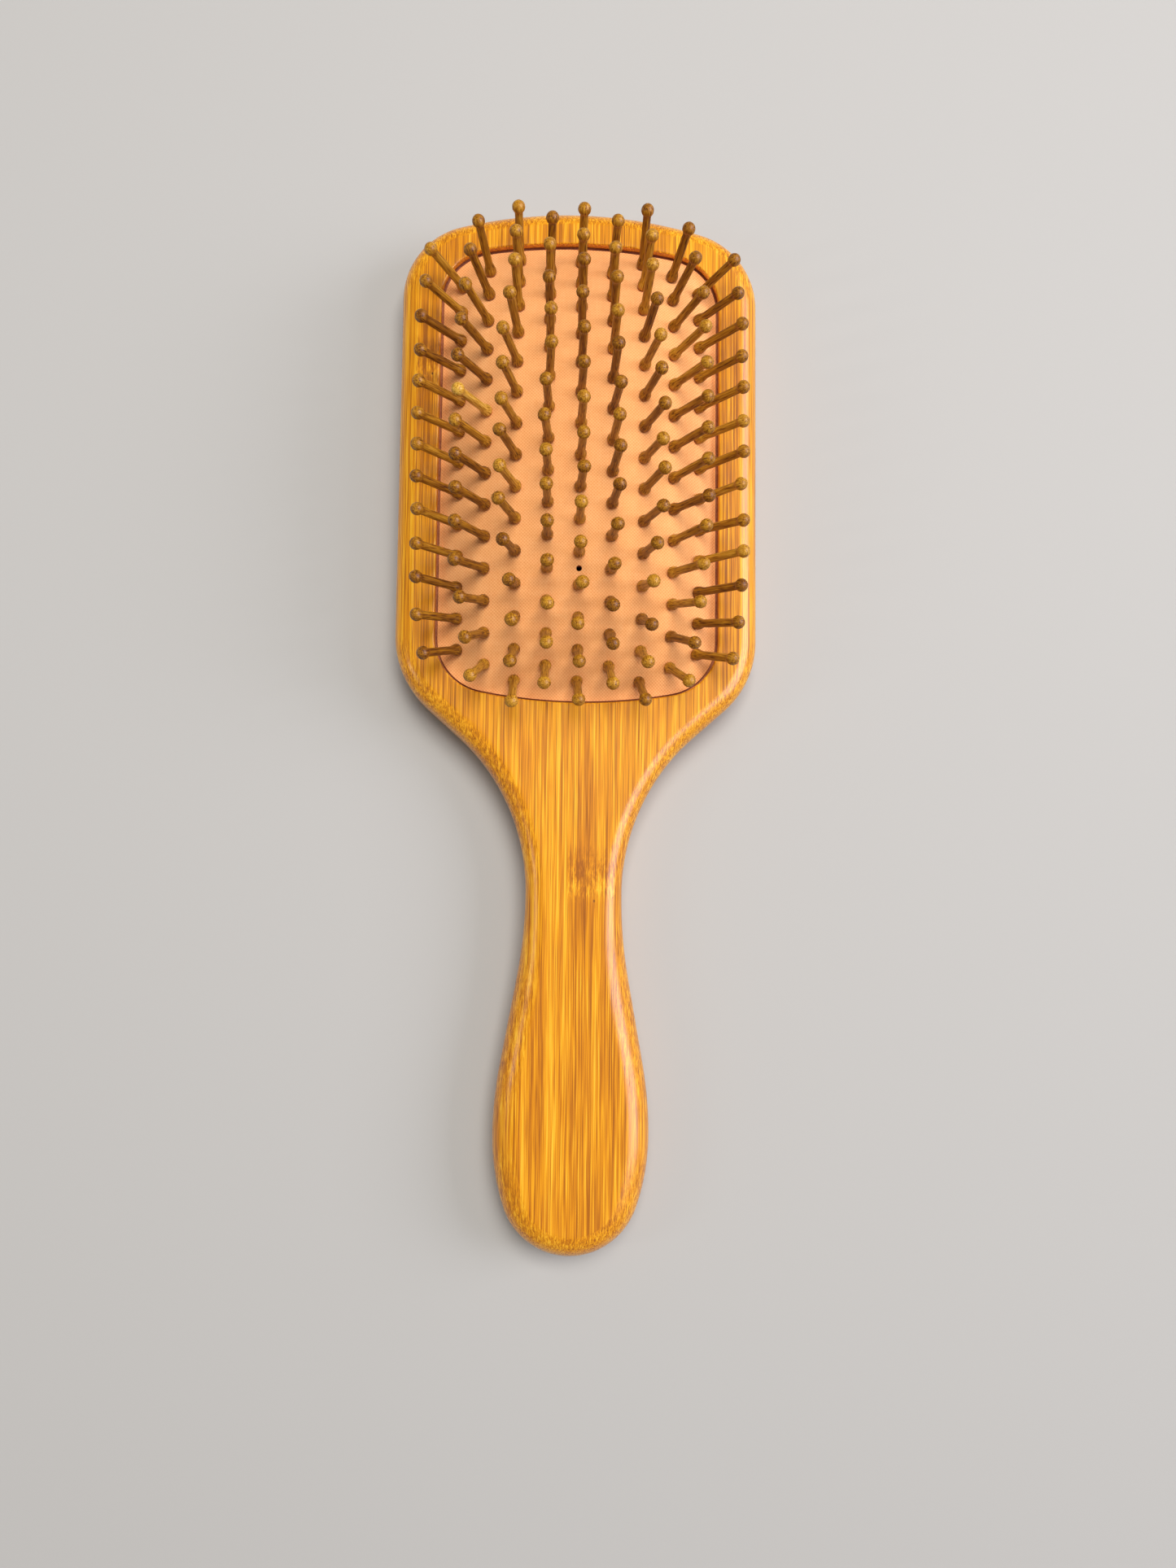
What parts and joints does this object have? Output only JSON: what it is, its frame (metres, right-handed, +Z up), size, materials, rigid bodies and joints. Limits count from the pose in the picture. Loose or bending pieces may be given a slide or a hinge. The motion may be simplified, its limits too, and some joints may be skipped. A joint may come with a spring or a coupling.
{
  "type": "paddle brush",
  "caption": "Bamboo paddle hair brush: rounded board with a pocket, a domed cloth-faced rubber cushion, and ball-tipped bamboo pins that tilt and press in.",
  "frame": {"origin": "on the flat back, under the middle of the brush's bounding box", "axes": "+Y along the brush from the handle's butt to the toe of the head, +Z up out of the pins, +X to the right as seen from above with the toe away"},
  "size_m": [0.0844, 0.2442, 0.0393],
  "materials": {
    "bamboo": "laminated bamboo under a clear gloss lacquer",
    "pins": "turned bamboo, satin, brown",
    "cushion_cloth": "fine plain-woven peach cloth, matt",
    "cushion_rubber": "soft moulded rubber, matt"
  },
  "bodies": {
    "board": {"bamboo_body": "bamboo"},
    "cushion": {"cushion_rubber": "cushion_rubber", "cushion_cloth": "cushion_cloth"},
    "pins_column1_toe": {"pins_column1_toe": "pins"},
    "pins_column1_middle": {"pins_column1_middle": "pins"},
    "pins_column1_heel": {"pins_column1_heel": "pins"},
    "pins_column2_toe": {"pins_column2_toe": "pins"},
    "pins_column2_middle": {"pins_column2_middle": "pins"},
    "pins_column2_heel": {"pins_column2_heel": "pins"},
    "pins_column3_toe": {"pins_column3_toe": "pins"},
    "pins_column3_middle": {"pins_column3_middle": "pins"},
    "pins_column3_heel": {"pins_column3_heel": "pins"},
    "pins_column4_toe": {"pins_column4_toe": "pins"},
    "pins_column4_middle": {"pins_column4_middle": "pins"},
    "pins_column4_heel": {"pins_column4_heel": "pins"},
    "pins_column5_toe": {"pins_column5_toe": "pins"},
    "pins_column5_middle": {"pins_column5_middle": "pins"},
    "pins_column5_heel": {"pins_column5_heel": "pins"},
    "pins_column6_toe": {"pins_column6_toe": "pins"},
    "pins_column6_middle": {"pins_column6_middle": "pins"},
    "pins_column6_heel": {"pins_column6_heel": "pins"},
    "pins_column7_toe": {"pins_column7_toe": "pins"},
    "pins_column7_middle": {"pins_column7_middle": "pins"},
    "pins_column7_heel": {"pins_column7_heel": "pins"},
    "pins_column8_toe": {"pins_column8_toe": "pins"},
    "pins_column8_middle": {"pins_column8_middle": "pins"},
    "pins_column8_heel": {"pins_column8_heel": "pins"},
    "pins_column9_toe": {"pins_column9_toe": "pins"},
    "pins_column9_middle": {"pins_column9_middle": "pins"},
    "pins_column9_heel": {"pins_column9_heel": "pins"}
  },
  "joints": [
    {"name": "cushion_press", "type": "slide", "parent": "board", "child": "cushion", "axis": [0, 0, 1], "range_m": [-0.0025, 0], "stiffness_N_per_m": 1500, "deforming": ["cushion_rubber", "cushion_cloth"]},
    {"name": "tilt_column1_toe", "type": "hinge", "parent": "cushion", "child": "pins_column1_toe", "pos_m": [-0.0274, 0.09102, 0.01499], "axis": [0, 0.9932, -0.1165], "range_deg": [-12, 12], "stiffness_Nm_per_rad": 0.05},
    {"name": "tilt_column1_middle", "type": "hinge", "parent": "cushion", "child": "pins_column1_middle", "pos_m": [-0.0274, 0.0584, 0.01602], "axis": [0, 1, 0], "range_deg": [-12, 12], "stiffness_Nm_per_rad": 0.05},
    {"name": "tilt_column1_heel", "type": "hinge", "parent": "cushion", "child": "pins_column1_heel", "pos_m": [-0.0274, 0.02578, 0.01499], "axis": [0, 0.9932, 0.1165], "range_deg": [-12, 12], "stiffness_Nm_per_rad": 0.05},
    {"name": "tilt_column2_toe", "type": "hinge", "parent": "cushion", "child": "pins_column2_toe", "pos_m": [-0.02128, 0.09096, 0.01792], "axis": [0, 0.983, -0.1837], "range_deg": [-12, 12], "stiffness_Nm_per_rad": 0.05},
    {"name": "tilt_column2_middle", "type": "hinge", "parent": "cushion", "child": "pins_column2_middle", "pos_m": [-0.02128, 0.0584, 0.01991], "axis": [0, 1, 0], "range_deg": [-12, 12], "stiffness_Nm_per_rad": 0.05},
    {"name": "tilt_column2_heel", "type": "hinge", "parent": "cushion", "child": "pins_column2_heel", "pos_m": [-0.02128, 0.02584, 0.01792], "axis": [0, 0.983, 0.1837], "range_deg": [-12, 12], "stiffness_Nm_per_rad": 0.05},
    {"name": "tilt_column3_toe", "type": "hinge", "parent": "cushion", "child": "pins_column3_toe", "pos_m": [-0.01445, 0.09446, 0.01842], "axis": [0, 0.9591, -0.2831], "range_deg": [-12, 12], "stiffness_Nm_per_rad": 0.05},
    {"name": "tilt_column3_middle", "type": "hinge", "parent": "cushion", "child": "pins_column3_middle", "pos_m": [-0.01445, 0.0584, 0.02231], "axis": [0, 1, 0], "range_deg": [-12, 12], "stiffness_Nm_per_rad": 0.05},
    {"name": "tilt_column3_heel", "type": "hinge", "parent": "cushion", "child": "pins_column3_heel", "pos_m": [-0.01445, 0.02234, 0.01842], "axis": [0, 0.9591, 0.2831], "range_deg": [-12, 12], "stiffness_Nm_per_rad": 0.05},
    {"name": "tilt_column4_toe", "type": "hinge", "parent": "cushion", "child": "pins_column4_toe", "pos_m": [-0.00726, 0.09096, 0.01965], "axis": [0, 0.9668, -0.2555], "range_deg": [-12, 12], "stiffness_Nm_per_rad": 0.05},
    {"name": "tilt_column4_middle", "type": "hinge", "parent": "cushion", "child": "pins_column4_middle", "pos_m": [-0.00726, 0.0584, 0.0233], "axis": [0, 1, 0], "range_deg": [-12, 12], "stiffness_Nm_per_rad": 0.05},
    {"name": "tilt_column4_heel", "type": "hinge", "parent": "cushion", "child": "pins_column4_heel", "pos_m": [-0.00726, 0.02584, 0.01965], "axis": [0, 0.9668, 0.2555], "range_deg": [-12, 12], "stiffness_Nm_per_rad": 0.05},
    {"name": "tilt_column5_toe", "type": "hinge", "parent": "cushion", "child": "pins_column5_toe", "pos_m": [0, 0.09446, 0.01864], "axis": [0, 0.9551, -0.2964], "range_deg": [-12, 12], "stiffness_Nm_per_rad": 0.05},
    {"name": "tilt_column5_middle", "type": "hinge", "parent": "cushion", "child": "pins_column5_middle", "pos_m": [0, 0.0584, 0.02332], "axis": [0, 1, 0], "range_deg": [-12, 12], "stiffness_Nm_per_rad": 0.05},
    {"name": "tilt_column5_heel", "type": "hinge", "parent": "cushion", "child": "pins_column5_heel", "pos_m": [0, 0.02234, 0.01864], "axis": [0, 0.9551, 0.2964], "range_deg": [-12, 12], "stiffness_Nm_per_rad": 0.05},
    {"name": "tilt_column6_toe", "type": "hinge", "parent": "cushion", "child": "pins_column6_toe", "pos_m": [0.00726, 0.09096, 0.01965], "axis": [0, 0.9668, -0.2555], "range_deg": [-12, 12], "stiffness_Nm_per_rad": 0.05},
    {"name": "tilt_column6_middle", "type": "hinge", "parent": "cushion", "child": "pins_column6_middle", "pos_m": [0.00726, 0.0584, 0.0233], "axis": [0, 1, 0], "range_deg": [-12, 12], "stiffness_Nm_per_rad": 0.05},
    {"name": "tilt_column6_heel", "type": "hinge", "parent": "cushion", "child": "pins_column6_heel", "pos_m": [0.00726, 0.02584, 0.01965], "axis": [0, 0.9668, 0.2555], "range_deg": [-12, 12], "stiffness_Nm_per_rad": 0.05},
    {"name": "tilt_column7_toe", "type": "hinge", "parent": "cushion", "child": "pins_column7_toe", "pos_m": [0.01445, 0.09446, 0.01842], "axis": [0, 0.9591, -0.2831], "range_deg": [-12, 12], "stiffness_Nm_per_rad": 0.05},
    {"name": "tilt_column7_middle", "type": "hinge", "parent": "cushion", "child": "pins_column7_middle", "pos_m": [0.01445, 0.0584, 0.02231], "axis": [0, 1, 0], "range_deg": [-12, 12], "stiffness_Nm_per_rad": 0.05},
    {"name": "tilt_column7_heel", "type": "hinge", "parent": "cushion", "child": "pins_column7_heel", "pos_m": [0.01445, 0.02234, 0.01842], "axis": [0, 0.9591, 0.2831], "range_deg": [-12, 12], "stiffness_Nm_per_rad": 0.05},
    {"name": "tilt_column8_toe", "type": "hinge", "parent": "cushion", "child": "pins_column8_toe", "pos_m": [0.02128, 0.09096, 0.01792], "axis": [0, 0.983, -0.1837], "range_deg": [-12, 12], "stiffness_Nm_per_rad": 0.05},
    {"name": "tilt_column8_middle", "type": "hinge", "parent": "cushion", "child": "pins_column8_middle", "pos_m": [0.02128, 0.0584, 0.01991], "axis": [0, 1, 0], "range_deg": [-12, 12], "stiffness_Nm_per_rad": 0.05},
    {"name": "tilt_column8_heel", "type": "hinge", "parent": "cushion", "child": "pins_column8_heel", "pos_m": [0.02128, 0.02584, 0.01792], "axis": [0, 0.983, 0.1837], "range_deg": [-12, 12], "stiffness_Nm_per_rad": 0.05},
    {"name": "tilt_column9_toe", "type": "hinge", "parent": "cushion", "child": "pins_column9_toe", "pos_m": [0.0274, 0.09102, 0.01499], "axis": [0, 0.9932, -0.1165], "range_deg": [-12, 12], "stiffness_Nm_per_rad": 0.05},
    {"name": "tilt_column9_middle", "type": "hinge", "parent": "cushion", "child": "pins_column9_middle", "pos_m": [0.0274, 0.0584, 0.01602], "axis": [0, 1, 0], "range_deg": [-12, 12], "stiffness_Nm_per_rad": 0.05},
    {"name": "tilt_column9_heel", "type": "hinge", "parent": "cushion", "child": "pins_column9_heel", "pos_m": [0.0274, 0.02578, 0.01499], "axis": [0, 0.9932, 0.1165], "range_deg": [-12, 12], "stiffness_Nm_per_rad": 0.05}
  ]
}
